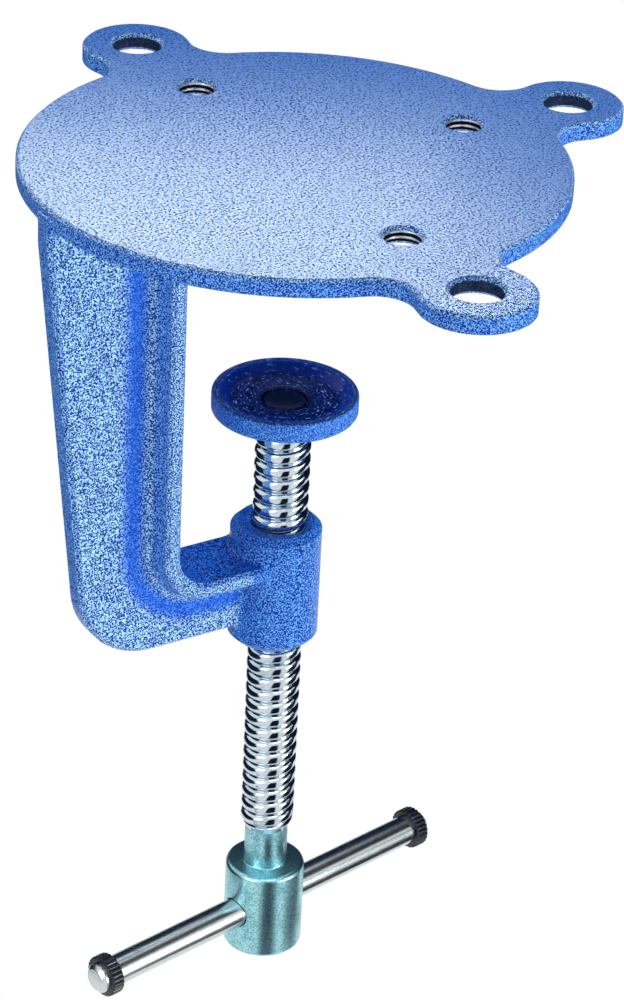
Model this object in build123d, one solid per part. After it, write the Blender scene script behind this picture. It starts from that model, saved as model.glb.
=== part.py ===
from build123d import *
from math import sqrt
import os

# Bench clamp that carries a small vise: a cast C-frame with a round mounting plate on top, and a
# screw with a swivel pad that grips the bench from below.
# Millimetres, +Z up. The origin is the centre of the plate's top face, on the screw's axis.
# The arm of the C-frame stands on the -X side. The front ear points to +X.

# Mounting plate and its three ears
plate_radius = 60.0
plate_thickness = 4.0
plate_edge_chamfer = 0.6
ear_angles = (0, 90, -90)
ear_radius = 12.5
ear_blend_radius = 8.0
ear_circle_radius = 71.2
ear_hole_diameter = 11.1
ear_hole_chamfer = 0.8
tapped_circle_radius = 43.2
tapped_hole_diameter = 8.0
tapped_hole_chamfer = 0.85

# Arm of T section: a flange along the throat, with a tapering web behind it
throat_reach = 30.6
throat_height = 91.6
throat_corner_radius = 8.0
flange_width = 18.0
flange_thickness = 3.8
flange_edge_chamfer = 0.8
web_thickness = 6.0
web_edge_chamfer = 1.0
web_cove_radius = 4.6
web_overhang = 1.0
web_top_drop = 1.2
web_bottom_inset = 10.2
lower_arm_depth = 17.7
root_fillet = 2.0
outer_corner_radius = 19.0

# Boss that the screw runs in
boss_diameter = 21.0
boss_offset = 0.9
boss_height = 29.8
boss_rise = 6.3
boss_edge_chamfer = 1.6
bore_chamfer = 0.9
screw_clearance = 0.06

# Screw, from its pad end down to the cross-drilled hub
screw_diameter = 12.7
thread_length = 105.6
thread_run_out = 2.8
thread_lead_in = 1.0
neck_diameter = 10.2
neck_length = 10.3
hub_diameter = 18.8
hub_height = 22.6
hub_top_chamfer = 1.2
hub_bottom_chamfer = 0.8
spigot_diameter = 8.0
peened_head_diameter = 9.6
peened_head_height = 1.1

# Swivel pad
jaw_gap = 52.35
pad_diameter = 33.0
pad_rim_height = 4.8
pad_rim_width = 2.3
pad_dish_depth = 2.2
pad_wall_slope = 1.6
pad_hub_diameter = 16.0
pad_hub_height = 3.0
pad_recess_depth = 1.4
pad_recess_clearance = 0.6
pad_edge_round = 0.6
pad_play = 0.2
spigot_clearance = 0.08

# Tommy bar with its two serrated end rings
bar_angle = 10.7
bar_depth = 12.0
bar_length = 104.0
bar_diameter = 7.2
bar_clearance = 0.2
bar_tip_diameter = 7.2
bar_tip_length = 1.8
bar_tip_chamfer = 0.85
bar_seat_diameter = 6.0
ring_diameter = 10.0
ring_width = 3.2
ring_groove_count = 26
ring_groove_depth = 0.35
ring_groove_width = 0.6

# How far a cutter reaches past what it cuts, and how near an edge lies to the place it is picked by
cut_past = 1.0
near = 0.01

# Levels and radii that follow from the sizes above
plate_bottom = -plate_thickness
lower_arm_top = plate_bottom - throat_height
lower_arm_bottom = lower_arm_top - lower_arm_depth
boss_top = lower_arm_top + boss_rise
boss_bottom = boss_top - boss_height
boss_radius = boss_diameter / 2
screw_radius = screw_diameter / 2
neck_radius = neck_diameter / 2
hub_radius = hub_diameter / 2
pad_radius = pad_diameter / 2
pad_top = plate_bottom - jaw_gap
pad_floor = pad_top - pad_dish_depth
pad_underside = pad_top - pad_rim_height
pad_hub_bottom = pad_underside - pad_hub_height
shoulder_level = pad_hub_bottom - pad_play
thread_end = shoulder_level - thread_length
neck_top = thread_end - thread_run_out
hub_top = neck_top - neck_length
hub_bottom = hub_top - hub_height
bar_level = hub_top - bar_depth


def ear():
    """Ear on the +X axis, with a concave arc on each side that touches both the ear and the disc."""
    to_disc = plate_radius + ear_blend_radius
    to_ear = ear_radius + ear_blend_radius
    x = (to_disc**2 - to_ear**2 + ear_circle_radius**2) / (2 * ear_circle_radius)
    y = sqrt(to_disc**2 - x**2)
    neck = Polygon((0, 0), (x, -y), (ear_circle_radius, 0), (x, y), align=None)
    notches = Locations((x, y), (x, -y)) * Circle(ear_blend_radius)
    return Pos(ear_circle_radius, 0) * Circle(ear_radius) + (neck - notches)


def plate_outline():
    outline = Circle(plate_radius)
    for angle in ear_angles:
        outline += Rot(0, 0, angle) * ear()
    return outline


def through_cutter(radius, top, bottom, chamfer_size):
    """Cutter for a round hole between two levels, with a chamfer at each mouth."""
    cutter = Pos(0, 0, (top + bottom) / 2) * Cylinder(radius, top - bottom + 2 * cut_past)
    mouth = Cone(radius, radius + chamfer_size + cut_past, chamfer_size + cut_past)
    off_face = (cut_past - chamfer_size) / 2
    cutter += Pos(0, 0, top + off_face) * mouth
    return cutter + Pos(0, 0, bottom - off_face) * Rot(180, 0, 0) * mouth


def plate_hole(diameter, chamfer_size):
    return through_cutter(diameter / 2, 0, plate_bottom, chamfer_size)


def mounting_plate():
    return Pos(0, 0, plate_bottom) * extrude(plate_outline(), plate_thickness)


def flange_section():
    """T section in its own plane: +X across the arm, +Y away from the throat."""
    half_flange = flange_width / 2
    half_web = web_thickness / 2
    depth = flange_thickness + web_cove_radius + cut_past
    across = [half_flange, half_flange, half_web, half_web]
    away = [0, flange_thickness, flange_thickness, depth]
    right = list(zip(across, away))
    left = [(-x, y) for x, y in reversed(right)]
    section = make_face(Polyline(*right, *left, close=True))
    coves = [v for v in section.vertices() if is_cove(v, half_web)]
    section = fillet(coves, web_cove_radius)
    corners = [v for v in section.vertices() if abs(abs(v.X) - half_flange) < near]
    return chamfer(corners, flange_edge_chamfer)


def is_cove(vertex, half_web):
    return abs(abs(vertex.X) - half_web) < near and abs(vertex.Y - flange_thickness) < near


def throat_path():
    """Middle line of the throat face, down the arm, round the corner and into the boss."""
    top = (-throat_reach, plate_bottom / 2)
    corner = (-throat_reach, lower_arm_top)
    end = (-boss_radius / 2, lower_arm_top)
    return Plane.XZ * FilletPolyline(top, corner, end, radius=throat_corner_radius)


def throat_flange():
    start = Plane(origin=(-throat_reach, 0, plate_bottom / 2), x_dir=(0, -1, 0), z_dir=(0, 0, -1))
    return sweep(start * flange_section(), path=throat_path())


def arm_web():
    """Flat web behind the flange, tapering toward the outer corner."""
    x_top = -(plate_radius + web_overhang)
    x_low = x_top + web_bottom_inset
    outline = [
        (-boss_radius / 2, -web_top_drop),
        (x_top, -web_top_drop),
        (x_top, plate_bottom - plate_thickness),
        (x_low, lower_arm_bottom),
        (-boss_radius / 2, lower_arm_bottom),
    ]
    side = make_face(Polyline(*outline, close=True))
    side = fillet(side.vertices().sort_by_distance((x_low, lower_arm_bottom))[0], outer_corner_radius)
    inset = flange_thickness / 2
    throat_low = lower_arm_top - inset
    throat_back = -throat_reach - inset
    throat = Pos(throat_back, 0) * Rectangle(-throat_back, -throat_low, align=(Align.MIN, Align.MAX))
    inner = throat.vertices().sort_by_distance((throat_back, throat_low))[0]
    throat = fillet(inner, throat_corner_radius + inset)
    web = extrude(Plane.XZ * (side - throat), web_thickness / 2, both=True)
    rims = [e for e in web.edges() if is_outer_rim(e)]
    return chamfer(rims, web_edge_chamfer)


def is_outer_rim(edge):
    middle = edge.center()
    off_middle = abs(abs(middle.Y) - web_thickness / 2) < near
    outside = middle.X < -throat_reach - flange_thickness - web_cove_radius
    below = middle.Z < lower_arm_top - flange_thickness - web_cove_radius
    return off_middle and (outside or below)


def boss():
    """Boss, a little off the screw's axis toward the arm."""
    body = Pos(-boss_offset, 0, (boss_top + boss_bottom) / 2) * Cylinder(boss_radius, boss_height)
    return chamfer(body.edges().filter_by(GeomType.CIRCLE), boss_edge_chamfer)


def screw_bore():
    """Cutter for the boss's bore, in which the screw runs."""
    return through_cutter(screw_radius + screw_clearance, boss_top, boss_bottom, bore_chamfer)


def is_plate_root(edge):
    """True where the arm's section meets the plate's underside."""
    middle = edge.center()
    flat = edge.bounding_box().size.Z < near
    under_plate = abs(middle.Z - plate_bottom) < near
    on_arm = abs(middle.Y) < flange_width / 2 + near and -plate_radius < middle.X < -throat_reach + near
    return flat and under_plate and on_arm


def is_boss_root(edge):
    """True where the lower arm meets the boss."""
    middle = edge.center()
    off_axis = sqrt((middle.X + boss_offset)**2 + middle.Y**2)
    near_wall = abs(off_axis - boss_radius) < near and middle.X < 0
    between = boss_bottom + boss_edge_chamfer < middle.Z < boss_top - boss_edge_chamfer
    return near_wall and between


def clamp_frame():
    """The casting: plate, arm and boss in one piece."""
    casting = mounting_plate() + throat_flange() + arm_web() + boss()
    casting = fillet(casting.edges().filter_by(is_plate_root), root_fillet)
    casting = fillet(casting.edges().filter_by(is_boss_root), root_fillet)
    casting = chamfer(casting.faces().sort_by(Axis.Z)[-1].edges(), plate_edge_chamfer)
    for angle in ear_angles:
        ear_hole = Pos(ear_circle_radius, 0, 0) * plate_hole(ear_hole_diameter, ear_hole_chamfer)
        tapped_place = Pos(tapped_circle_radius, 0, 0)
        tapped_hole = tapped_place * plate_hole(tapped_hole_diameter, tapped_hole_chamfer)
        casting -= Rot(0, 0, angle) * ear_hole
        casting -= Rot(0, 0, angle) * tapped_hole
    return casting - screw_bore()


def clamp_screw():
    """Screw with its pad spigot, thread, neck and hub, turned in one piece."""
    spigot_radius = spigot_diameter / 2
    head_radius = peened_head_diameter / 2
    head_base = pad_floor - pad_recess_depth + pad_play
    profile = [
        (0, shoulder_level),
        (0, head_base + peened_head_height),
        (head_radius - peened_head_height / 2, head_base + peened_head_height),
        (head_radius, head_base + peened_head_height / 2),
        (head_radius, head_base),
        (spigot_radius, head_base),
        (spigot_radius, shoulder_level),
        (screw_radius - thread_lead_in, shoulder_level),
        (screw_radius, shoulder_level - thread_lead_in),
        (screw_radius, thread_end),
        (neck_radius, neck_top),
        (neck_radius, hub_top),
        (hub_radius - hub_top_chamfer, hub_top),
        (hub_radius, hub_top - hub_top_chamfer),
        (hub_radius, hub_bottom + hub_bottom_chamfer),
        (hub_radius - hub_bottom_chamfer, hub_bottom),
        (0, hub_bottom),
    ]
    face = make_face(Plane.XZ * Polyline(*profile, close=True))
    screw = revolve(face, Axis.Z)
    cross_hole = Cylinder(bar_diameter / 2 + bar_clearance, hub_diameter + 2 * cut_past)
    return screw - bar_place() * cross_hole


def swivel_pad():
    """Dished round pad, held on the screw's spigot and free to turn."""
    wall_top = pad_radius - pad_rim_width
    wall_foot = wall_top - pad_wall_slope
    recess_radius = peened_head_diameter / 2 + pad_recess_clearance
    recess_floor = pad_floor - pad_recess_depth
    hole_radius = spigot_diameter / 2 + spigot_clearance
    hub_edge = pad_hub_diameter / 2
    profile = [
        (hole_radius, recess_floor),
        (recess_radius, recess_floor),
        (recess_radius, pad_floor),
        (wall_foot, pad_floor),
        (wall_top, pad_top),
        (pad_radius - pad_edge_round, pad_top),
        (pad_radius, pad_top - pad_edge_round),
        (pad_radius, pad_underside + pad_edge_round),
        (pad_radius - pad_edge_round, pad_underside),
        (hub_edge, pad_underside),
        (hub_edge, pad_hub_bottom),
        (hole_radius, pad_hub_bottom),
    ]
    face = make_face(Plane.XZ * Polyline(*profile, close=True))
    return revolve(face, Axis.Z)


def bar_place():
    """Middle of the tommy bar, with local +Z along it."""
    return Pos(0, 0, bar_level) * Rot(0, 0, bar_angle) * Rot(0, 90, 0)


def tommy_bar():
    half = bar_length / 2
    seat_start = half - bar_tip_length - ring_width
    profile = [(0, -half)]
    end = [
        (bar_tip_diameter / 2 - bar_tip_chamfer, half),
        (bar_tip_diameter / 2, half - bar_tip_chamfer),
        (bar_tip_diameter / 2, half - bar_tip_length),
        (bar_seat_diameter / 2, half - bar_tip_length),
        (bar_seat_diameter / 2, seat_start),
        (bar_diameter / 2, seat_start),
    ]
    profile += [(r, -z) for r, z in end]
    profile += list(reversed(end))
    profile.append((0, half))
    face = make_face(Plane.XZ * Polyline(*profile, close=True))
    return bar_place() * revolve(face, Axis.Z)


def end_ring(side):
    """Serrated ring pressed on one end of the bar."""
    outer = ring_diameter / 2
    ring = Cylinder(outer, ring_width) - Cylinder(bar_seat_diameter / 2, ring_width)
    groove = Pos(outer, 0, 0) * Box(2 * ring_groove_depth, ring_groove_width, ring_width)
    for step in range(ring_groove_count):
        ring -= Rot(0, 0, 360 * step / ring_groove_count) * groove
    middle = bar_length / 2 - bar_tip_length - ring_width / 2
    return bar_place() * Pos(0, 0, side * middle) * ring


pieces = {
    "clamp_frame": clamp_frame(),
    "clamp_screw": clamp_screw(),
    "swivel_pad": swivel_pad(),
    "tommy_bar": tommy_bar(),
    "end_ring_near": end_ring(-1),
    "end_ring_far": end_ring(1),
}

os.makedirs("parts", exist_ok=True)
for name, piece in pieces.items():
    export_step(piece, f"parts/{name}.step")
    print(name, round(piece.volume), "mm3")
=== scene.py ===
# %% [markdown]
# # Vise mounting clamp
# A cast C-frame carries a round plate for a small vise. A coarse screw with a swivel pad grips the
# bench from below, and a tommy bar turns the screw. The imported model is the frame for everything
# here: each finished piece sits where its solid sits, in metres, and rides on the same body.

# %% Load the frame
import math

import bmesh
import bpy
from mathutils import Matrix, Quaternion, Vector


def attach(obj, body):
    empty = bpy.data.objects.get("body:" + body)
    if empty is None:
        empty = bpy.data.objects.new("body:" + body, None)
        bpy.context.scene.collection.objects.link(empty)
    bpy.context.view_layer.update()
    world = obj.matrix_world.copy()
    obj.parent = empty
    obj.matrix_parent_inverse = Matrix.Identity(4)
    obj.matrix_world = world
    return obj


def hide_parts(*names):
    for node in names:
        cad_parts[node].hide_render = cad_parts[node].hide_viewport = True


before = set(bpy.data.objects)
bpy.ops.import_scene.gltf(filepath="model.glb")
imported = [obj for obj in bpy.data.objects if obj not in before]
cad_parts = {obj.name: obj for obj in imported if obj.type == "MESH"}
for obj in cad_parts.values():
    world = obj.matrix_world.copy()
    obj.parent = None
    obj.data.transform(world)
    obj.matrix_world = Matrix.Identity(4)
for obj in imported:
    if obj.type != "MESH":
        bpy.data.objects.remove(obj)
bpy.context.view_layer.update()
MM = 0.001

# %% [markdown]
# ## Writing node trees as sums
# A long node tree is hard to read when every link is a line of its own. `Wire` stands for one
# output socket, and a sum or product of wires adds its Math nodes. `Sheet.node` makes any other
# node. The same two classes serve materials and Geometry Nodes, because both trees share these
# nodes.

# %% Wire


class Wire:
    """One output socket, which can stand in a sum."""

    def __init__(self, sheet, socket):
        self.sheet = sheet
        self.socket = socket

    def maths(self, operation, first, second=0.0):
        return self.sheet.maths(operation, first, second)

    def __add__(self, other):
        return self.maths("ADD", self, other)

    def __radd__(self, other):
        return self.maths("ADD", other, self)

    def __sub__(self, other):
        return self.maths("SUBTRACT", self, other)

    def __rsub__(self, other):
        return self.maths("SUBTRACT", other, self)

    def __mul__(self, other):
        return self.maths("MULTIPLY", self, other)

    def __rmul__(self, other):
        return self.maths("MULTIPLY", other, self)

    def __truediv__(self, other):
        return self.maths("DIVIDE", self, other)

    def __rtruediv__(self, other):
        return self.maths("DIVIDE", other, self)

    def __pow__(self, other):
        return self.maths("POWER", self, other)

    def __rpow__(self, other):
        return self.maths("POWER", other, self)


print("a wire can stand in a sum")

# %% Sheet


class Sheet:
    """A node tree that is being written."""

    def __init__(self, tree):
        self.tree = tree

    def node(self, kind, settings=None, inputs=None, output=0):
        """Any node: its settings come first, then the values or wires of its sockets."""
        made = self.tree.nodes.new(kind)
        for name, value in (settings or {}).items():
            setattr(made, name, value)
        for place, value in (inputs or {}).items():
            if isinstance(value, Wire):
                self.tree.links.new(value.socket, made.inputs[place])
            else:
                made.inputs[place].default_value = value
        return Wire(self, made.outputs[output]) if made.outputs else None

    def maths(self, operation, first, second=0.0):
        return self.node("ShaderNodeMath", {"operation": operation}, {0: first, 1: second})

    def between(self, value, low, high):
        """0 below low, 1 above high and smooth between them."""
        span = {"Value": value, "From Min": low, "From Max": high}
        return self.node("ShaderNodeMapRange", {"interpolation_type": "SMOOTHSTEP"}, span)

    def mix(self, factor, first, second):
        """Colour mix: all of the first at 0, all of the second at 1."""
        colours = {0: factor, 6: first, 7: second}
        return self.node("ShaderNodeMix", {"data_type": "RGBA"}, colours, output=2)

    def noise(self, place, scale, detail, roughness=0.5):
        """Cloudy noise: a higher scale is finer, and more detail adds finer clouds on top."""
        sizes = {"Vector": place, "Scale": scale, "Detail": detail, "Roughness": roughness}
        return self.node("ShaderNodeTexNoise", None, sizes)

    def split(self, vector):
        apart = self.node("ShaderNodeSeparateXYZ", None, {0: vector})
        outputs = apart.socket.node.outputs
        return [Wire(self, outputs[place]) for place in range(3)]


print("a sheet writes the other nodes")

# %% Materials on a sheet


def new_material(name):
    """An empty material and the sheet that its nodes are written on."""
    material = bpy.data.materials.new(name)
    material.use_nodes = True
    material.node_tree.nodes.clear()
    return material, Sheet(material.node_tree)


def finish_material(sheet, shader):
    sheet.node("ShaderNodeOutputMaterial", None, {"Surface": shader})


print("node helpers ready")

# %% [markdown]
# ## Studio
# The photograph is a studio shot on white. A floor well below the clamp and a white world give
# that. Light Path tells camera, glossy and transmission rays from the rest: those see white, and
# the rest see a plain level of light, so the background is white without more light on the object.

# %% World
WHITE = (1, 1, 1, 1)
WORLD_LEVEL = 0.36


def seen_directly(sheet):
    """1 for the rays that should find a white background."""
    rays = sheet.node("ShaderNodeLightPath").socket.node.outputs
    camera = Wire(sheet, rays["Is Camera Ray"])
    glossy = Wire(sheet, rays["Is Glossy Ray"])
    through = Wire(sheet, rays["Is Transmission Ray"])
    return sheet.maths("MAXIMUM", sheet.maths("MAXIMUM", camera, glossy), through)


world = bpy.data.worlds.new("white_studio")
world.use_nodes = True
world.node_tree.nodes.clear()
sky = Sheet(world.node_tree)
sky_level = WORLD_LEVEL + (1.0 - WORLD_LEVEL) * seen_directly(sky)
background = sky.node("ShaderNodeBackground", None, {"Color": WHITE, "Strength": sky_level})
sky.node("ShaderNodeOutputWorld", None, {"Surface": background})
bpy.context.scene.world = world
print("world level", WORLD_LEVEL)

# %% [markdown]
# The floor mixes a matt paint, which takes the clamp's shadow, with a plain white glow. It is a
# square of 12 m, which reaches well past the picture.

# %% Floor
FLOOR_LEVEL = -380 * MM
FLOOR_SIZE = 12.0
FLOOR_GREY = (0.85, 0.86, 0.87, 1)
GLOW_SHARE = 0.85


def flat_sheet(name, width, height, level, finish):
    """A plain rectangle that faces up."""
    corners = [(-width, -height), (width, -height), (width, height), (-width, height)]
    mesh = bpy.data.meshes.new(name)
    mesh.from_pydata([(x / 2, y / 2, level) for x, y in corners], [], [(0, 1, 2, 3)])
    mesh.materials.append(finish)
    return bpy.data.objects.new(name, mesh)


floor_paint, sheet = new_material("pale_floor")
glow = sheet.node("ShaderNodeEmission", None, {"Color": WHITE, "Strength": 1.0})
matt = sheet.node("ShaderNodeBsdfDiffuse", None, {"Color": FLOOR_GREY})
glow_here = GLOW_SHARE * seen_directly(sheet)
floor_look = sheet.node("ShaderNodeMixShader", None, {0: glow_here, 1: matt, 2: glow})
finish_material(sheet, floor_look)

floor = flat_sheet("floor", FLOOR_SIZE, FLOOR_SIZE, FLOOR_LEVEL, floor_paint)
bpy.context.scene.collection.objects.link(floor)
print("floor at", FLOOR_LEVEL, "m")

# %% [markdown]
# ## Camera
# The lens and the place were fitted to the outlines of the plate's holes, its rim and the screw.
# The camera looks down on the plate and is rolled a little, so the plate seems to tip to the
# right.

# %% Camera
SENSOR = 36.0
LENS = 127.76
CAMERA_PLACE = Vector((-0.36893, -0.59472, 0.31026))
CAMERA_AIM = Vector((-0.01328, -0.03414, -0.06379))
CAMERA_ROLL = math.radians(2.792)

camera_data = bpy.data.cameras.new("photo_camera")
camera_data.lens = LENS
camera_data.sensor_width = SENSOR
camera_data.sensor_fit = "AUTO"
camera = bpy.data.objects.new("photo_camera", camera_data)
camera.location = CAMERA_PLACE
looking = (CAMERA_AIM - CAMERA_PLACE).to_track_quat("-Z", "Y")
camera.rotation_mode = "QUATERNION"
camera.rotation_quaternion = looking @ Quaternion((0, 0, 1), CAMERA_ROLL)
bpy.context.scene.collection.objects.link(camera)
bpy.context.scene.camera = camera
bpy.context.scene.view_settings.view_transform = "Standard"
print("camera is", round((CAMERA_AIM - CAMERA_PLACE).length, 3), "m from the clamp")

# %% [markdown]
# ## Lamps
# Four soft panels light the clamp: a big one behind it, one low at the front right for the flat
# side of the arm, a weak one at the left and one above. The one behind stays out of reflections,
# because a lamp shines through cards that throw no shadow. A glowing card beside it gives the
# plate its glare instead, and a card can hide that one.

# %% Softboxes
LAMP_TARGET = Vector((0.0, 0.0, -0.09))
PANELS = {  # name: place, width and height in metres, then watts
    "back_panel": ((0.62, 0.98, 0.66), 1.3, 0.7, 18.0),
    "right_panel": ((0.66, -0.90, -0.15), 0.7, 0.4, 10.0),
    "left_panel": ((-0.90, -0.30, 0.20), 0.5, 0.7, 3.0),
    "top_panel": ((-0.1, -0.5, 1.1), 0.6, 0.6, 3.0),
}


def facing_clamp(made, place):
    """Puts a lamp or card at a place and turns it to the clamp."""
    made.location = place
    made.rotation_mode = "QUATERNION"
    made.rotation_quaternion = (LAMP_TARGET - Vector(place)).to_track_quat("-Z", "Y")
    bpy.context.scene.collection.objects.link(made)
    return made


def softbox(name, place, width, height, watts):
    data = bpy.data.lights.new(name, "AREA")
    data.shape = "RECTANGLE"
    data.size = width
    data.size_y = height
    data.energy = watts
    return facing_clamp(bpy.data.objects.new(name, data), place)


panels = {name: softbox(name, *sizes) for name, sizes in PANELS.items()}
panels["back_panel"].visible_glossy = False
print(len(panels), "softboxes")

# %% [markdown]
# Dark cards do the rest, because bright metal looks bright only next to something dark, and wet
# enamel looks deep only where it mirrors something dark. The cards show in reflections alone and
# throw no shadow.

# %% Cards
CARD_BLACK = (0.004, 0.012, 0.035, 1)
GLARE_TINT = (0.92, 1.0, 0.80, 1)
GLARE_STRENGTH = 26.0
DARK_CARDS = {  # name: place, width and height in metres
    "card_front": ((-0.06, -0.20, -0.22), 0.12, 0.34),
    "card_right": ((0.22, -0.13, -0.22), 0.20, 0.34),
    "card_left": ((-0.19, 0.16, -0.178), 0.40, 0.255),
    "card_high": ((0.36, -0.16, 0.22), 0.50, 0.26),
    "card_behind": ((0.10, 0.16, -0.063), 0.40, 0.27),
    "card_far": ((0.27, 0.053, -0.05), 0.40, 0.40),
}

card_paint, sheet = new_material("dark_card")
finish_material(sheet, sheet.node("ShaderNodeBsdfDiffuse", None, {"Color": CARD_BLACK}))

glare_paint, sheet = new_material("glare_paper")
glare = {"Color": GLARE_TINT, "Strength": GLARE_STRENGTH}
finish_material(sheet, sheet.node("ShaderNodeEmission", None, glare))
glare_paint.cycles.emission_sampling = "NONE"


def card(name, place, width, height, finish=card_paint):
    """A card that only reflections show."""
    made = facing_clamp(flat_sheet(name, width, height, 0, finish), place)
    made.visible_camera = False
    made.visible_diffuse = False
    made.visible_shadow = False
    made.visible_transmission = False
    return made


card("glare_card", (0.47, 1.05, 0.545), 1.3, 0.36, glare_paint)
for name, sizes in DARK_CARDS.items():
    card(name, *sizes)
print("a glare card and", len(DARK_CARDS), "dark cards")

# %% [markdown]
# ## Hammered enamel
# The casting is sprayed with a blue enamel that dries in fine pits and ridges, about 0.4 mm
# across. It is paler on the ridges and nearly navy in the pits: partly the enamel's own mottle and
# partly painted highlight on the ridges and painted shade in the pits. One fine noise makes the
# pits, and the colour, the roughness and the bump all read it, so they agree. Object coordinates
# keep the grain the same size on every face.

# %% Enamel tones and grain
# The pit and ridge tones are partly the enamel's own mottle, partly painted shade and highlight.
NAVY = (0.003, 0.028, 0.26, 1)
FULL_BLUE = (0.014, 0.18, 0.82, 1)
RIDGE_BLUE = (0.47, 0.80, 1.0, 1)
# Painted shade: this tone and the two below it are deeper blues for the cove, the rims, the boss
# and the faces under the plate.
SHADE_BLUE = (0.001, 0.085, 0.70, 1)
SHADE_RIDGE = (0.06, 0.34, 1.0, 1)
LEDGE_SHADE_BLUE = (0.001, 0.030, 0.42, 1)
EDGE_BLUE = (0.10, 0.34, 0.88, 1)
# Painted shade: near-black inside the holes and in the pits of the faces under the plate.
SHADE_DARK = (0.004, 0.007, 0.020, 1)
GRAIN_SCALE = 3100.0
GRAIN_LIMITS = (0.41, 0.60)


def enamel_grain(sheet, place):
    """0 in the pits and 1 on the ridges."""
    return sheet.between(sheet.noise(place, GRAIN_SCALE, 1.0, 0.6), *GRAIN_LIMITS)


def three_tones(sheet, grain, dark, middle, light):
    """A dark tone in pits, a middle one on slopes and a light one on ridges: partly painted shade
    and highlight.
    """
    lower = sheet.mix(sheet.between(grain, 0.05, 0.5), dark, middle)
    return sheet.mix(sheet.between(grain, 0.45, 0.95), lower, light)


print("tones:", NAVY[:3], FULL_BLUE[:3], RIDGE_BLUE[:3])

# %% [markdown]
# The cove between web and flange and the faces that lie level under the plate are painted a
# deeper blue and get a smoother grain: painted shade, as little light reaches them. So the
# material needs to know where it is on the casting. The depth behind the throat's face is the
# distance from a rounded corner, which takes a few lines of maths.

# %% Finding a place on the casting
THROAT_X = -30.6 * MM
THROAT_LOW = -95.6 * MM
THROAT_CORNER = 8.0 * MM


def throat_depth(sheet, x, z):
    """Distance behind the throat's face, round its corner too."""
    away_x = (THROAT_X + THROAT_CORNER) - x
    away_z = (THROAT_LOW + THROAT_CORNER) - z
    x_side = sheet.maths("MAXIMUM", away_x, 0.0)
    z_side = sheet.maths("MAXIMUM", away_z, 0.0)
    corner = sheet.maths("SQRT", x_side * x_side + z_side * z_side)
    inside = sheet.maths("MINIMUM", sheet.maths("MAXIMUM", away_x, away_z), 0.0)
    return corner + inside - THROAT_CORNER


def nearest_axis(sheet, x, y, places):
    """Distance to the nearest of some upright axes."""
    nearest = None
    for place_x, place_y in places:
        across = x - place_x * MM
        along = y - place_y * MM
        distance = sheet.maths("SQRT", across * across + along * along)
        nearest = sheet.maths("MINIMUM", nearest, distance) if nearest else distance
    return nearest


def band(sheet, value, start, full, fading, end):
    """1 between full and fading, 0 before start and after end."""
    rise = sheet.between(value, start * MM, full * MM)
    fall = sheet.between(value, fading * MM, end * MM)
    return rise * (1.0 - fall)


print("throat face at", THROAT_X, "m")

# %% [markdown]
# Each mask is 1 on one part of the casting and 0 elsewhere. Some go by place, such as the arm and
# the boss, and some by the way a face looks, such as the plate's top and its rim. A Bevel node
# rounds the shading of the edges, and where it disagrees with the true normal there is an edge.

# %% Parts of the casting
UNDER_PLATE = -4.3 * MM
BOSS_SIDE = -11.6 * MM
COVE_BAND = (5.4, 8.6, 9.4, 13.2)
FLANGE_BAND = (3.5, 3.9, 4.8, 5.6)
EDGE_RADIUS = 0.5 * MM
EDGE_LIMITS = (0.80, 0.985)

casting_enamel, sheet = new_material("hammered_enamel")
coordinates = sheet.node("ShaderNodeTexCoord", output="Object")
x, y, z = sheet.split(coordinates)
flat_normal = sheet.node("ShaderNodeTexCoord", output="Normal")
facing_x, _, facing_up = sheet.split(flat_normal)

below = 1.0 - sheet.between(z, UNDER_PLATE - 0.8 * MM, UNDER_PLATE)
on_boss = below * sheet.between(x, BOSS_SIDE - 0.6 * MM, BOSS_SIDE)
on_arm = below - on_boss
depth = throat_depth(sheet, x, z)
cove_line = band(sheet, depth, *COVE_BAND)
flange_back = band(sheet, depth, *FLANGE_BAND)
facing_back = sheet.between(0.0 - facing_x, 0.5, 0.95)
back_edge = facing_back * below * sheet.between(depth, 8.0 * MM, 10.0 * MM)
level_face = sheet.between(facing_up, 0.55, 0.9) * below
plate_top = sheet.between(facing_up, 0.9, 0.99) * (1.0 - below)
level_side = 1.0 - sheet.between(sheet.maths("ABSOLUTE", facing_up), 0.3, 0.85)
plate_rim = level_side * (1.0 - below)

rounded_edges = sheet.node("ShaderNodeBevel", {"samples": 4}, {"Radius": EDGE_RADIUS})
normals = {0: rounded_edges, 1: flat_normal}
agreeing = sheet.node("ShaderNodeVectorMath", {"operation": "DOT_PRODUCT"}, normals, "Value")
edge = 1.0 - sheet.between(agreeing, *EDGE_LIMITS)

# Painted shade: the cove, the flange's back, the faces level under the plate, the plate's rim and
# the arm's back edge get a deeper blue for the shade they lie in.
painted_shade = on_arm * (cove_line + 0.8 * flange_back) + 0.9 * level_face
painted_shade = sheet.maths("MINIMUM", painted_shade + 0.8 * plate_rim + 0.8 * back_edge, 1.0)
print("masks for:", casting_enamel.name)

# %% [markdown]
# The holes' walls belong to the same mesh, so the material finds them by their distance from the
# axes. The ear holes are painted dark inside: painted shade. The three inner ones are tapped, and
# their bare thread shows as bright lines on a wall painted dark as shade: a sine of the height
# makes one line a pitch.

# %% Holes in the plate
TAPPED_HOLES = [(0, 43.2), (0, -43.2), (43.2, 0)]
TAPPED_WALL = (4.1 * MM, 4.3 * MM)
TAP_PITCH = 1.3 * MM
THREAD_SILVER = (0.80, 0.84, 0.88, 1)
EAR_HOLES = [(0, 71.2), (0, -71.2), (71.2, 0)]
EAR_WALL = (5.7 * MM, 6.0 * MM)


def hole_wall(places, wall):
    """1 on the walls of some holes in the plate."""
    return plate_rim * (1.0 - sheet.between(nearest_axis(sheet, x, y, places), *wall))


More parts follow.
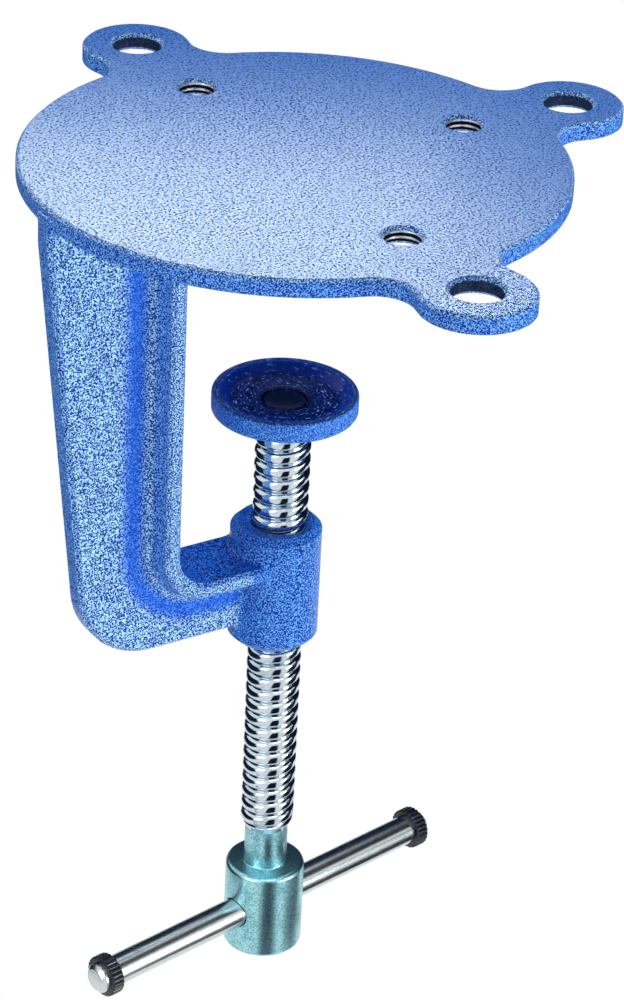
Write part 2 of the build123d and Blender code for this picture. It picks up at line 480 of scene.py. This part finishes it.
in_thread = hole_wall(TAPPED_HOLES, TAPPED_WALL)
in_ear_hole = hole_wall(EAR_HOLES, EAR_WALL)
thread_wave = 0.5 + 0.5 * sheet.maths("SINE", z * (2 * math.pi / TAP_PITCH))
tapped_thread_and_shade = sheet.mix(sheet.between(thread_wave, 0.5, 0.9), SHADE_DARK, THREAD_SILVER)
print(len(TAPPED_HOLES), "tapped holes and", len(EAR_HOLES), "ear holes")

# %% [markdown]
# The plate's top has a coarser grain: short dark dashes in a paler bloom. The dashes are dents in
# the bump, and their near-black colour is painted shade. There the glare lies over everything, so
# a dark colour alone would hardly show. A Mix Shader gives the dashes a dull paint that mirrors
# nothing, which paints out the glare in them. The colours are laid over each other in turn, and
# each mask says where the next one shows.

# %% Casting enamel
BLOOM_BLUE = (0.025, 0.15, 0.60, 1)
# Painted shade: the near-black of the dashes in the plate's top.
STREAK_BLUE = (0.001, 0.020, 0.10, 1)
STREAK_SCALE = 1900.0
STREAK_LIMITS = (0.395, 0.45)
STREAK_DEPTH = 2.2
DULL_SHARE = 0.9
PIT_DEPTH = 0.11 * MM
ENAMEL_IOR = 1.24

grain = enamel_grain(sheet, coordinates)
wide_grain = sheet.noise(coordinates, STREAK_SCALE, 3.0)
streaks = 1.0 - sheet.between(wide_grain, *STREAK_LIMITS)
# Painted shade: a deeper speckle for the boss, the cove and the rims, and a darker one for the
# faces under the plate, where its shadow lies.
shade_speckle = three_tones(sheet, grain, NAVY, SHADE_BLUE, SHADE_RIDGE)
ledge_shade_speckle = three_tones(sheet, grain, SHADE_DARK, LEDGE_SHADE_BLUE, FULL_BLUE)
speckle = three_tones(sheet, grain, NAVY, FULL_BLUE, RIDGE_BLUE)
# The boss is painted in the deeper speckle: painted shade, as it catches less glare than the web.
speckle = sheet.mix(0.8 * on_boss, speckle, shade_speckle)
streaked = sheet.mix(streaks, BLOOM_BLUE, STREAK_BLUE)
enamel_colour = sheet.mix(plate_top * 0.8, speckle, streaked)
# Painted shade: deeper blue in the cove, under the plate, on the rims and the back edge, and
# near-black in the ear holes and between the tapped thread's lines, whose silver is bare metal.
enamel_colour = sheet.mix(painted_shade * 0.9, enamel_colour, shade_speckle)
enamel_colour = sheet.mix(on_arm * cove_line * 0.5, enamel_colour, SHADE_BLUE)
enamel_colour = sheet.mix(level_face * 0.9, enamel_colour, ledge_shade_speckle)
enamel_colour = sheet.mix(edge * 0.8, enamel_colour, EDGE_BLUE)
enamel_colour = sheet.mix(in_ear_hole * 0.9, enamel_colour, SHADE_DARK)
enamel_colour = sheet.mix(in_thread, enamel_colour, tapped_thread_and_shade)

calm = 0.2 * painted_shade + 0.5 * level_face + 0.2 * plate_rim + 0.75 * plate_top
relief = grain * (1.0 - calm) - STREAK_DEPTH * streaks * plate_top
pits = {"Strength": 1.0, "Distance": PIT_DEPTH, "Height": relief, "Normal": rounded_edges}
enamel = {
    "Base Color": enamel_colour,
    "Metallic": in_thread,
    "Roughness": 0.28 - 0.10 * grain,
    "Normal": sheet.node("ShaderNodeBump", None, pits),
    "IOR": ENAMEL_IOR,
}
glossy = sheet.node("ShaderNodeBsdfPrincipled", None, enamel)
# Painted shade: the dashes get a dull paint, so they mirror none of the glare.
dull = sheet.node("ShaderNodeBsdfDiffuse", None, {"Color": STREAK_BLUE})
dull_here = DULL_SHARE * streaks * plate_top
finish_material(sheet, sheet.node("ShaderNodeMixShader", None, {0: dull_here, 1: glossy, 2: dull}))
print("casting finish:", casting_enamel.name)

# %% [markdown]
# The pad has the same enamel, thicker and glossier. The dish is painted almost black as painted
# shade under the plate, darkest in the middle, and its level rim top takes the same dark tones.
# Its sloping wall is a little bluer, painted light where light reaches it, and the outside of the
# rim keeps its blue. Turning left fine marks round the dish, and their glints are painted in a
# pale
# blue: a noise that is read by radius and angle follows them. The peened end of the screw in the
# middle takes the pad's enamel.

# %% Pad tones
DISH_RADIUS = 14.6 * MM
# Painted shade: the dish tones and the near-black middle. Painted light: the wall's blue. Painted
# glints: the glint blue.
DISH_SHADE_TONES = ((0.001, 0.003, 0.02, 1), (0.001, 0.008, 0.07, 1), (0.004, 0.03, 0.22, 1))
SIDE_TONES = ((0.008, 0.060, 0.36, 1), (0.020, 0.150, 0.66, 1), (0.11, 0.35, 0.90, 1))
GLINT_BLUE = (0.30, 0.48, 0.90, 1)
RECESS_SHADE = (0.001, 0.003, 0.012, 1)
LIT_WALL_BLUE = (0.002, 0.05, 0.45, 1)
GLINT_SCALE = 2200.0
GLINT_LIMITS = (0.62, 0.70)
GLINT_LENGTH = 0.003
PAD_PIT_DEPTH = 0.06 * MM
PAD_IOR = 1.26
print("dish tone", DISH_SHADE_TONES[1][:3], "side tone", SIDE_TONES[1][:3])

# %% Pad enamel
pad_enamel, sheet = new_material("dish_enamel")
coordinates = sheet.node("ShaderNodeTexCoord", output="Object")
x, y, z = sheet.split(coordinates)
facing_up = sheet.split(sheet.node("ShaderNodeTexCoord", output="Normal"))[2]
from_axis = sheet.maths("SQRT", x * x + y * y)
middle = 1.0 - sheet.between(from_axis, 2.0 * MM, 9.0 * MM)
wall = sheet.between(from_axis, 12.0 * MM, 12.8 * MM)
outside = sheet.between(from_axis, DISH_RADIUS, DISH_RADIUS + 0.8 * MM)
rim_face = sheet.between(facing_up, 0.5, 0.9)

grain = enamel_grain(sheet, coordinates)
arc = GLINT_LENGTH * sheet.maths("ARCTAN2", y, x)
on_dish = sheet.node("ShaderNodeCombineXYZ", None, {0: from_axis, 1: arc, 2: 0.0})
glints = sheet.between(sheet.noise(on_dish, GLINT_SCALE, 1.0), *GLINT_LIMITS)
# Painted shade in the dish, its middle and the level rim top; painted light on the wall and
# painted glints along the marks.
dish = three_tones(sheet, grain, *DISH_SHADE_TONES)
dish = sheet.mix(glints * (0.6 - 0.6 * middle), dish, GLINT_BLUE)
dish = sheet.mix(middle * 0.85, dish, RECESS_SHADE)
side = three_tones(sheet, grain, *SIDE_TONES)
side = sheet.mix(rim_face * 0.8, side, dish)
dish = sheet.mix(0.4 * wall, dish, LIT_WALL_BLUE)

pad_relief = grain * (0.12 + 0.88 * outside) + 0.3 * glints
pits = {"Strength": 1.0, "Distance": PAD_PIT_DEPTH, "Height": pad_relief}
enamel = {
    "Base Color": sheet.mix(outside, dish, side),
    "Roughness": 0.14 + 0.14 * outside,
    "Normal": sheet.node("ShaderNodeBump", None, pits),
    "IOR": PAD_IOR,
}
finish_material(sheet, sheet.node("ShaderNodeBsdfPrincipled", None, enamel))
print("pad finish:", pad_enamel.name)

# %% [markdown]
# ## Bare metals
# Three finishes: a bright plated thread, a satin hub and neck with a greenish tone from the
# plating, and drawn steel for the bar. Each is fully metallic, and its detail is in the fine lines
# that the tool left, which run round the axis on turned parts and along the bar on drawn stock.
# Stretching a noise along one direction makes such lines. A broad noise adds stains and a fine one
# adds frosting.

# %% Metal materials
LINE_SCALE = 1400.0
FROST_SCALE = 2600.0
STAIN_SCALE = 160.0


def line_noise(sheet, vector, stretch):
    """Noise drawn out along some axes: a small stretch value means long lines."""
    factors = {0: vector, 1: stretch}
    drawn = sheet.node("ShaderNodeVectorMath", {"operation": "MULTIPLY"}, factors)
    return sheet.noise(drawn, LINE_SCALE, 4.0, 0.65)


def bare_metal(name, colour, dull, roughness, frosting, stretch, line_depth, turn=0.0):
    """A metal with tool lines, where the dull colour shows in stains, frosting and lines."""
    material, sheet = new_material(name)
    place = sheet.node("ShaderNodeTexCoord", output="Object")
    if turn:
        turned_place = {"Vector": place, "Rotation": (0, 0, turn)}
        place = sheet.node("ShaderNodeMapping", None, turned_place)
    lines = line_noise(sheet, place, stretch)
    stain = sheet.between(sheet.noise(place, STAIN_SCALE, 4.0), 0.45, 0.75)
    spots = frosting * sheet.between(sheet.noise(place, FROST_SCALE, 2.0), 0.4, 0.65)
    marks = {"Strength": 0.7, "Distance": line_depth, "Height": lines + spots}
    metal = {
        "Base Color": sheet.mix(0.35 * stain + spots + 0.25 * lines - 0.1, colour, dull),
        "Metallic": 1.0,
        "Roughness": roughness + 0.10 * lines + 0.06 * stain,
        "Normal": sheet.node("ShaderNodeBump", None, marks),
    }
    finish_material(sheet, sheet.node("ShaderNodeBsdfPrincipled", None, metal))
    return material


print("metals share one recipe")

# %% Thread, hub and bar finishes
BAR_ANGLE = math.radians(10.7)

plated_thread = bare_metal(
    "plated_thread",
    colour=(0.66, 0.74, 0.79, 1),
    dull=(0.12, 0.26, 0.34, 1),
    roughness=0.06,
    frosting=0.16,
    stretch=(0.3, 0.3, 1.0),
    line_depth=0.003 * MM,
)
satin_hub = bare_metal(
    "satin_hub",
    colour=(0.42, 0.80, 0.87, 1),
    dull=(0.04, 0.18, 0.23, 1),
    roughness=0.26,
    frosting=0.55,
    stretch=(0.06, 0.06, 1.0),
    line_depth=0.012 * MM,
)
drawn_steel = bare_metal(
    "drawn_steel",
    colour=(0.70, 0.74, 0.74, 1),
    dull=(0.30, 0.42, 0.42, 1),
    roughness=0.17,
    frosting=0.35,
    stretch=(0.04, 1.0, 1.0),
    line_depth=0.008 * MM,
    turn=-BAR_ANGLE,
)
print("metals:", plated_thread.name, satin_hub.name, drawn_steel.name)

# %% [markdown]
# ## Blackened rings
# The rings at the bar's ends are blackened steel. Handling rubs the high places, so a broad noise
# lifts the colour a little and makes those places smoother.

# %% Ring material
OXIDE_BLACK = (0.002, 0.003, 0.010, 1)
RUBBED_BLACK = (0.008, 0.012, 0.034, 1)
RUB_SCALE = 420.0
OXIDE_SCALE = 5200.0

black_oxide, sheet = new_material("black_oxide")
coordinates = sheet.node("ShaderNodeTexCoord", output="Object")
rub = sheet.between(sheet.noise(coordinates, RUB_SCALE, 5.0), 0.4, 0.7)
fine = sheet.noise(coordinates, OXIDE_SCALE, 2.0)
oxide_grain = {"Strength": 0.5, "Distance": 0.01 * MM, "Height": fine}
oxide = {
    "Base Color": sheet.mix(rub, OXIDE_BLACK, RUBBED_BLACK),
    "Roughness": 0.34 - 0.12 * rub,
    "Normal": sheet.node("ShaderNodeBump", None, oxide_grain),
}
finish_material(sheet, sheet.node("ShaderNodeBsdfPrincipled", None, oxide))
print("ring finish:", black_oxide.name)

# %% [markdown]
# ## Casting
# The casting's solid already has its true form: the eared plate, the T-section arm with its coves,
# and the boss. Its mesh stays as it is and takes the enamel.

# %% Casting
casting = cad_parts["clamp_frame"]
casting.data.materials.clear()
casting.data.materials.append(casting_enamel)
print("casting:", len(casting.data.polygons), "faces")

# %% [markdown]
# ## Turned parts
# The pad, the hub and the bar are made on a lathe, so one helper turns a profile round an axis. A
# profile that starts and ends on the axis closes its poles with triangles, and one that stays off
# the axis closes into a ring. The profile's corners are rounded beforehand with a small arc each,
# as a file breaks an edge.

# %% Rounded profiles
ON_AXIS = 1e-7


def rounded(profile, radii, steps=4):
    """The profile with each corner of a given radius replaced by a short arc."""
    out = []
    for place, point in enumerate(profile):
        radius = radii.get(place, 0.0)
        here = Vector(point)
        if not radius:
            out.append(here)
            continue
        before = (Vector(profile[place - 1]) - here).normalized()
        after = (Vector(profile[(place + 1) % len(profile)]) - here).normalized()
        half_angle = before.angle(after) / 2
        back = radius / math.tan(half_angle)
        centre = here + (before + after).normalized() * radius / math.sin(half_angle)
        first = here + before * back - centre
        last = here + after * back - centre
        for step in range(steps + 1):
            out.append(centre + first.slerp(last, step / steps).normalized() * radius)
    return out


print("corners can be rounded")

# %% Lathe
SHARP_ANGLE = math.radians(32)


def turned(name, profile, segments):
    """A closed solid of revolution about Z from a profile in mm: pairs of radius and height."""
    shape = bmesh.new()
    rings = []
    angles = [2 * math.pi * k / segments for k in range(segments)]
    for radius, height in [(r * MM, z * MM) for r, z in profile]:
        if radius < ON_AXIS:
            rings.append([shape.verts.new((0, 0, height))] * segments)
            continue
        places = [(radius * math.cos(a), radius * math.sin(a), height) for a in angles]
        rings.append([shape.verts.new(place) for place in places])
    pairs = list(zip(rings, rings[1:]))
    if profile[0][0] * MM > ON_AXIS and profile[-1][0] * MM > ON_AXIS:
        pairs.append((rings[-1], rings[0]))
    for low, high in pairs:
        for k in range(segments):
            after = (k + 1) % segments
            corners = list(dict.fromkeys([low[k], low[after], high[after], high[k]]))
            if len(corners) > 2:
                shape.faces.new(corners)
    bmesh.ops.recalc_face_normals(shape, faces=shape.faces)
    mesh = bpy.data.meshes.new(name)
    shape.to_mesh(mesh)
    shape.free()
    made = bpy.data.objects.new(name, mesh)
    bpy.context.scene.collection.objects.link(made)
    return made


def smooth_all(made, sharp_angle=SHARP_ANGLE):
    """Smooth shading, with an edge kept where two faces meet at more than the angle."""
    mesh = made.data
    mesh.polygons.foreach_set("use_smooth", [True] * len(mesh.polygons))
    mesh.set_sharp_from_angle(angle=sharp_angle)
    mesh.update()


print("lathe ready")

# %% [markdown]
# ## Swivel pad
# The pad is a turned dish with a short hub below. Its rim is a flat band, its wall slopes in, and
# in the middle lies the recess for the peened end of the screw.

# %% Swivel pad
PAD_TOP = -56.35
PAD_FLOOR = PAD_TOP - 2.2
PAD_UNDER = PAD_TOP - 4.8
PAD_HUB_LOW = PAD_UNDER - 3.0
PAD_RECESS = PAD_FLOOR - 1.4
PAD_RADIUS = 16.5
PAD_HUB_RADIUS = 8.0
PAD_BORE = 4.08
RECESS_RADIUS = 5.4
FLOOR_RADIUS = 12.6
RIM_INSIDE = 14.2
PAD_SEGMENTS = 128

pad_profile = rounded(
    [
        (PAD_BORE, PAD_RECESS),
        (RECESS_RADIUS, PAD_RECESS),
        (RECESS_RADIUS, PAD_FLOOR),
        (FLOOR_RADIUS, PAD_FLOOR),
        (RIM_INSIDE, PAD_TOP),
        (PAD_RADIUS, PAD_TOP),
        (PAD_RADIUS, PAD_UNDER),
        (PAD_HUB_RADIUS, PAD_UNDER),
        (PAD_HUB_RADIUS, PAD_HUB_LOW),
        (PAD_BORE, PAD_HUB_LOW),
    ],
    {2: 0.3, 3: 0.9, 4: 0.5, 5: 0.8, 6: 0.7, 7: 0.6, 8: 0.4},
)
pad = turned("finished_pad", pad_profile, PAD_SEGMENTS)
smooth_all(pad)
pad.data.materials.append(pad_enamel)
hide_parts("swivel_pad")
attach(pad, "pad")
print("pad:", len(pad.data.polygons), "faces")

# %% [markdown]
# ## Screw thread
# The thread is one helical ridge with wide rounded crests and narrow sharp grooves. A Screw
# modifier could spin a profile, but its ends stay ragged. Here Geometry Nodes bend a flat grid
# into the screw: each row follows the helix, so the grooves are crisp with few faces, and the rows
# beyond the ends are flattened onto the end rings, where they merge. The lead-in and the run-out
# are two cones that cap the radius.

# %% Geometry Nodes helpers
MERGE_DISTANCE = 0.004 * MM


def add_input(tree, name, kind, value):
    socket = tree.interface.new_socket(name, in_out="INPUT", socket_type=kind)
    socket.default_value = value
    return socket.identifier


def geometry_tree(name, sizes):
    """A Geometry Nodes tree with one named input per size, and its sheet."""
    tree = bpy.data.node_groups.new(name, "GeometryNodeTree")
    geometry_kind = "NodeSocketGeometry"
    tree.interface.new_socket("Geometry", in_out="OUTPUT", socket_type=geometry_kind)
    sheet = Sheet(tree)
    ids = {size: add_input(tree, size, kind, 0) for size, kind in sizes.items()}
    entry = sheet.node("NodeGroupInput").socket.node.outputs
    wires = {size: Wire(sheet, entry[size]) for size in sizes}
    return tree, sheet, ids, wires


def close_tree(sheet, geometry, material):
    real = sheet.node("GeometryNodeRealizeInstances", None, {0: geometry})
    dressed = {"Geometry": real, "Material": material}
    coloured = sheet.node("GeometryNodeSetMaterial", None, dressed)
    sheet.node("NodeGroupOutput", None, {0: coloured})


def unit_grid(sheet, columns, rows):
    """A flat grid and its two UV wires, which run from 0 to 1 along its sides."""
    sizes = {"Size X": 1.0, "Size Y": 1.0, "Vertices X": columns + 1, "Vertices Y": rows + 1}
    grid = sheet.node("GeometryNodeMeshGrid", None, sizes)
    along_x, along_y, _ = sheet.split(Wire(sheet, grid.socket.node.outputs["UV Map"]))
    return grid, along_x, along_y


def on_tube(sheet, grid, radius, turn, height):
    """Moves a grid's points onto a tube about Z and closes its seam."""
    x = radius * sheet.maths("COSINE", turn)
    y = radius * sheet.maths("SINE", turn)
    place = sheet.node("ShaderNodeCombineXYZ", None, {0: x, 1: y, 2: height})
    bent = {"Geometry": grid, "Position": place}
    moved = sheet.node("GeometryNodeSetPosition", None, bent)
    closed = {"Geometry": moved, "Distance": MERGE_DISTANCE}
    merged = sheet.node("GeometryNodeMergeByDistance", None, closed)
    return sheet.node("GeometryNodeSetShadeSmooth", None, {"Geometry": merged})


print("geometry helpers ready")

# %% [markdown]
# A tree runs as a modifier on an empty mesh. Its result is kept as a plain mesh and the modifier
# goes. The empty mesh leaves an empty material slot in front, so the slots are written again.

# %% Growing a piece


def applied(made, modifier):
    """The mesh that a piece has with its modifier, which is then taken off."""
    bpy.context.view_layer.update()
    evaluated = made.evaluated_get(bpy.context.evaluated_depsgraph_get())
    mesh = bpy.data.meshes.new_from_object(evaluated)
    made.modifiers.remove(modifier)
    return mesh


def grown(name, tree, ids, values):
    """Runs a tree on an empty mesh and keeps the result as a plain mesh object."""
    made = bpy.data.objects.new(name, bpy.data.meshes.new(name))
    bpy.context.scene.collection.objects.link(made)
    modifier = made.modifiers.new(name, "NODES")
    modifier.node_group = tree
    for size, value in values.items():
        modifier[ids[size]] = value
    mesh = applied(made, modifier)
    finishes = [finish for finish in mesh.materials if finish]
    mesh.materials.clear()
    for finish in finishes:
        mesh.materials.append(finish)
    mesh.polygons.foreach_set("material_index", [0] * len(mesh.polygons))
    made.data = mesh
    return made


print("pieces can grow")

# %% Thread tree
GROOVE_SHARPNESS = 3.2
ROUNDING_GUARD = 0.0001

thread_sizes = {
    "Top": "NodeSocketFloat",
    "Bottom": "NodeSocketFloat",
    "Pitch": "NodeSocketFloat",
    "Crest radius": "NodeSocketFloat",
    "Root radius": "NodeSocketFloat",
    "Neck radius": "NodeSocketFloat",
    "Run out": "NodeSocketFloat",
    "Turns": "NodeSocketInt",
    "Columns": "NodeSocketInt",
    "Steps": "NodeSocketInt",
}
thread_tree, sheet, thread_ids, size = geometry_tree("helical_thread", thread_sizes)
grid, around, along = unit_grid(sheet, size["Columns"], size["Turns"] * size["Steps"])
turns_down = along * size["Turns"]
raw_height = size["Top"] + size["Pitch"] * (around + 1.0 - turns_down)
above_low = sheet.maths("MAXIMUM", raw_height, size["Bottom"])
height = sheet.maths("MINIMUM", above_low, size["Top"])

turn_share = sheet.maths("FRACT", turns_down + ROUNDING_GUARD)
in_groove = sheet.maths("ABSOLUTE", 2.0 * turn_share - 1.0)
ridge = 1.0 - in_groove**GROOVE_SHARPNESS
thread_radius = size["Root radius"] + (size["Crest radius"] - size["Root radius"]) * ridge
lead_cap = size["Root radius"] + (size["Top"] - height)
run_slope = (size["Crest radius"] - size["Neck radius"]) / size["Run out"]
run_cap = size["Neck radius"] + (height - size["Bottom"]) * run_slope
capped = sheet.maths("MINIMUM", sheet.maths("MINIMUM", thread_radius, lead_cap), run_cap)
tube = on_tube(sheet, grid, capped, around * (2 * math.pi), height)
close_tree(sheet, tube, plated_thread)
print("thread tree:", len(thread_tree.nodes), "nodes")

# %% Thread
THREAD_TOP = -64.35
THREAD_LOW = -172.75
PITCH = 3.5
CREST_RADIUS = 6.35
ROOT_RADIUS = 5.15
NECK_RADIUS = 5.1
RUN_OUT = 2.8
THREAD_COLUMNS = 96
STEPS_PER_TURN = 12

thread_turns = math.ceil((THREAD_TOP - THREAD_LOW) / PITCH) + 2
thread_values = {
    "Top": THREAD_TOP * MM,
    "Bottom": THREAD_LOW * MM,
    "Pitch": PITCH * MM,
    "Crest radius": CREST_RADIUS * MM,
    "Root radius": ROOT_RADIUS * MM,
    "Neck radius": NECK_RADIUS * MM,
    "Run out": RUN_OUT * MM,
    "Turns": thread_turns,
    "Columns": THREAD_COLUMNS,
    "Steps": STEPS_PER_TURN,
}
screw = grown("finished_screw", thread_tree, thread_ids, thread_values)
print("thread:", len(screw.data.polygons), "faces,", thread_turns, "turns of grid")

# %% [markdown]
# ## Hub, neck and spigot
# The rest of the screw is plain turning. The hub is drilled across for the bar, which a Boolean
# does best. These parts join the thread at its two end rings, which have as many points as the
# lathe uses here, so the joined screw is one closed skin.

# %% Joining helpers
SEAM_TOLERANCE = 0.01 * MM


def cut_away(made, cutter):
    """Cuts a shape out of a piece and keeps the result as its plain mesh."""
    modifier = made.modifiers.new("cut", "BOOLEAN")
    modifier.operation = "DIFFERENCE"
    modifier.solver = "EXACT"
    modifier.object = cutter
    made.data = applied(made, modifier)
    bpy.data.objects.remove(cutter)


def join_skins(made, parts, open_level):
    """Adds skins to a piece, takes off the lid at one level and closes the seams."""
    shape = bmesh.new()
    shape.from_mesh(made.data)
    for slot, part in parts:
        first = len(shape.faces)
        shape.from_mesh(part.data)
        shape.faces.ensure_lookup_table()
        for face in shape.faces[first:]:
            face.material_index = slot
        bpy.data.objects.remove(part)
    at_level = [v for v in shape.verts if abs(v.co.z - open_level) < SEAM_TOLERANCE]
    lid = [v for v in at_level if v.co.xy.length < SEAM_TOLERANCE]
    bmesh.ops.delete(shape, geom=lid, context="VERTS")
    bmesh.ops.remove_doubles(shape, verts=shape.verts, dist=MERGE_DISTANCE)
    bmesh.ops.recalc_face_normals(shape, faces=shape.faces)
    shape.to_mesh(made.data)
    print("open edges:", sum(not e.is_manifold for e in shape.edges))
    shape.free()


print("joining helpers ready")

# %% Hub with its cross hole
HUB_TOP = -183.05
HUB_LOW = -205.65
HUB_RADIUS = 9.4
BAR_LEVEL = HUB_TOP - 12.0
CROSS_HOLE_RADIUS = 3.8
DRILL_HALF = 12
DRILL_SEGMENTS = 64

bar_place = (
    Matrix.Translation((0, 0, BAR_LEVEL * MM))
    @ Matrix.Rotation(BAR_ANGLE, 4, "Z")
    @ Matrix.Rotation(math.radians(90), 4, "Y")
)
hub_profile = rounded(
    [
        (0.0, THREAD_LOW),
        (NECK_RADIUS, THREAD_LOW),
        (NECK_RADIUS, HUB_TOP),
        (HUB_RADIUS, HUB_TOP),
        (HUB_RADIUS, HUB_LOW),
        (0.0, HUB_LOW),
    ],
    {2: 0.5, 3: 1.2, 4: 0.8},
    steps=5,
)
drill_profile = [
    (0, -DRILL_HALF),
    (CROSS_HOLE_RADIUS, -DRILL_HALF),
    (CROSS_HOLE_RADIUS, DRILL_HALF),
    (0, DRILL_HALF),
]
hub = turned("hub", hub_profile, THREAD_COLUMNS)
drill = turned("drill", drill_profile, DRILL_SEGMENTS)
drill.data.transform(bar_place)
cut_away(hub, drill)
print("hub:", len(hub.data.polygons), "faces")

# %% Spigot and whole screw
SPIGOT_RADIUS = 4.0
HEAD_RADIUS = 4.8
HEAD_HEIGHT = 1.1
HEAD_BASE = PAD_RECESS + 0.2

spigot_profile = rounded(
    [
        (ROOT_RADIUS, THREAD_TOP),
        (SPIGOT_RADIUS, THREAD_TOP),
        (SPIGOT_RADIUS, HEAD_BASE),
        (HEAD_RADIUS, HEAD_BASE),
        (HEAD_RADIUS, HEAD_BASE + HEAD_HEIGHT),
        (0.0, HEAD_BASE + HEAD_HEIGHT),
    ],
    {4: 0.5},
)
spigot = turned("spigot", spigot_profile, THREAD_COLUMNS)
screw.data.materials.append(satin_hub)
# The peened head takes the pad's enamel, so the painted shade of the dish's middle covers it.
screw.data.materials.append(pad_enamel)
join_skins(screw, [(1, hub), (2, spigot)], THREAD_LOW * MM)
smooth_all(screw)
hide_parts("clamp_screw")
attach(screw, "screw")
print("screw:", len(screw.data.polygons), "faces")

# %% [markdown]
# ## Tommy bar
# The bar is drawn steel with a turned-down seat near each end, a chamfered tip and a flat end
# face.

# %% Tommy bar
BAR_HALF = 52.0
BAR_RADIUS = 3.6
SEAT_RADIUS = 3.0
TIP_LENGTH = 1.8
RING_WIDTH = 3.2
TIP_CHAMFER = 0.85
TIP_ROUNDING = 0.25
BAR_SEGMENTS = 72

end_profile = [
    (BAR_RADIUS - TIP_CHAMFER, BAR_HALF),
    (BAR_RADIUS, BAR_HALF - TIP_CHAMFER),
    (BAR_RADIUS, BAR_HALF - TIP_LENGTH),
    (SEAT_RADIUS, BAR_HALF - TIP_LENGTH),
    (SEAT_RADIUS, BAR_HALF - TIP_LENGTH - RING_WIDTH),
    (BAR_RADIUS, BAR_HALF - TIP_LENGTH - RING_WIDTH),
]
low_end = [(0, -BAR_HALF)] + [(r, -z) for r, z in end_profile]
bar_profile = low_end + end_profile[::-1] + [(0, BAR_HALF)]
last = len(bar_profile) - 1
bar_profile = rounded(bar_profile, {place: TIP_ROUNDING for place in (1, 2, last - 1, last - 2)})
bar = turned("finished_bar", bar_profile, BAR_SEGMENTS)
bar.data.transform(bar_place)
smooth_all(bar)
bar.data.materials.append(drawn_steel)
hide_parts("tommy_bar")
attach(bar, "bar")
print("bar:", len(bar.data.polygons), "faces")

# %% [markdown]
# ## End rings
# Each ring is a narrow collar with fine straight serrations. Cutting 26 notches one by one would
# be slow and would leave hard facets. A grid that is bent into a closed collar takes them as one
# wave of its outer radius, in the same tree for both rings.

# %% Ring tree
SECTION_SQUARENESS = 0.22
NOTCH_SPAN = (0.35, 1.0)
OUTER_SPAN = (0.2, 0.8)

ring_sizes = {
    "Outer radius": "NodeSocketFloat",
    "Bore radius": "NodeSocketFloat",
    "Width": "NodeSocketFloat",
    "Notch depth": "NodeSocketFloat",
    "Notches": "NodeSocketInt",
    "Steps": "NodeSocketInt",
    "Section points": "NodeSocketInt",
}
ring_tree, sheet, ring_ids, size = geometry_tree("serrated_ring", ring_sizes)
columns = size["Notches"] * size["Steps"]
grid, around, across = unit_grid(sheet, columns, size["Section points"])


def squared(wave):
    """Pushes a sine wave toward -1 and 1, so a round section becomes one with round corners."""
    return sheet.maths("SIGN", wave) * sheet.maths("ABSOLUTE", wave) ** SECTION_SQUARENESS


section_turn = across * (2 * math.pi)
wall = (size["Outer radius"] - size["Bore radius"]) / 2.0
out_share = squared(sheet.maths("SINE", section_turn))
ring_height = size["Width"] / 2.0 * squared(sheet.maths("COSINE", section_turn))
tooth = 2.0 * sheet.maths("FRACT", around * size["Notches"]) - 1.0
notch = sheet.between(sheet.maths("ABSOLUTE", tooth), *NOTCH_SPAN)
outer_side = sheet.between(out_share, *OUTER_SPAN)
smooth_radius = size["Bore radius"] + wall + wall * out_share
ring_radius = smooth_radius - size["Notch depth"] * notch * outer_side
tube = on_tube(sheet, grid, ring_radius, around * (2 * math.pi), ring_height)
close_tree(sheet, tube, black_oxide)
print("ring tree:", len(ring_tree.nodes), "nodes")

# %% End rings
RING_SHARP_ANGLE = math.radians(60)

ring_values = {
    "Outer radius": 5.0 * MM,
    "Bore radius": SEAT_RADIUS * MM,
    "Width": RING_WIDTH * MM,
    "Notch depth": 0.35 * MM,
    "Notches": 26,
    "Steps": 8,
    "Section points": 32,
}
for node, side in (("end_ring_near", -1), ("end_ring_far", 1)):
    ring = grown("finished_" + node, ring_tree, ring_ids, ring_values)
    along_bar = side * (BAR_HALF - TIP_LENGTH - RING_WIDTH / 2) * MM
    ring.data.transform(bar_place @ Matrix.Translation((0, 0, along_bar)))
    smooth_all(ring, RING_SHARP_ANGLE)
    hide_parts(node)
    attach(ring, "bar")
    print(ring.name, len(ring.data.polygons), "faces")
